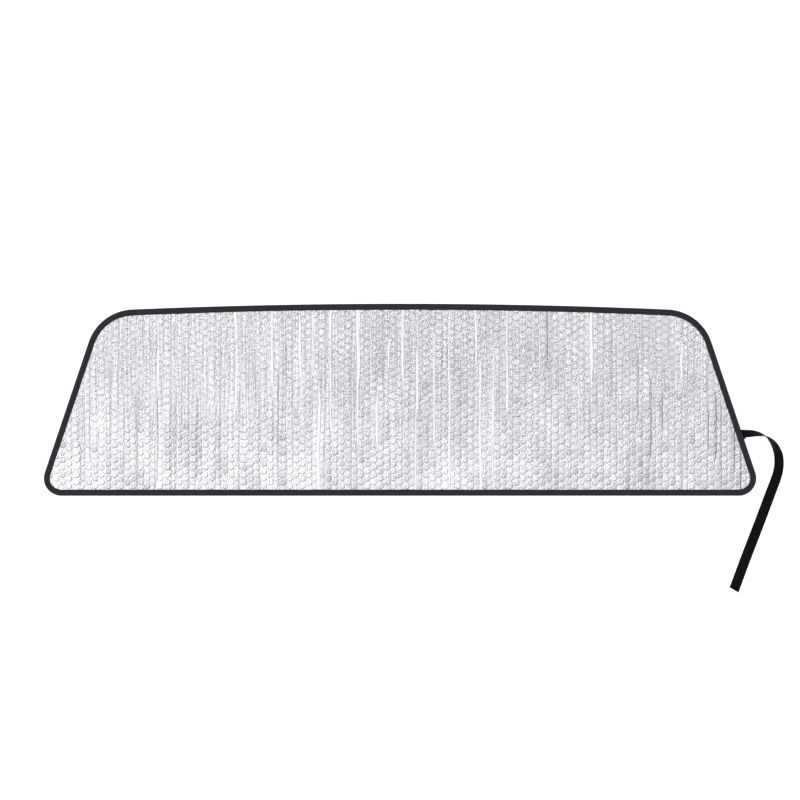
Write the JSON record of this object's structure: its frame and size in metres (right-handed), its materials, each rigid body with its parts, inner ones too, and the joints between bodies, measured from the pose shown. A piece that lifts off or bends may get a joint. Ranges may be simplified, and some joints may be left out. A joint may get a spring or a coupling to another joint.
{
  "type": "rear window sunshade",
  "caption": "Flat foil-faced bubble sheet cut to a rear window, a rounded trapezoid with a folded black tape sewn round its edge and a loose strap at one side to hold it rolled.",
  "frame": {"origin": "centre of the panel's box, on the surface that its back face lies on", "axes": "+X along the width towards the side that carries the strap, +Y towards the bowed top edge, +Z out of the foil front face"},
  "size_m": [1.4349, 0.5599, 0.02],
  "materials": {
    "foil": "satin",
    "binding_tape": "matt woven",
    "sewing_thread": "spun",
    "strap_webbing": "matt woven"
  },
  "bodies": {
    "root": {"foil_panel": "foil", "edge_binding": "binding_tape", "seam_needle_thread": "sewing_thread", "seam_bobbin_thread": "sewing_thread", "closure_strap": "strap_webbing"}
  },
  "joints": []
}
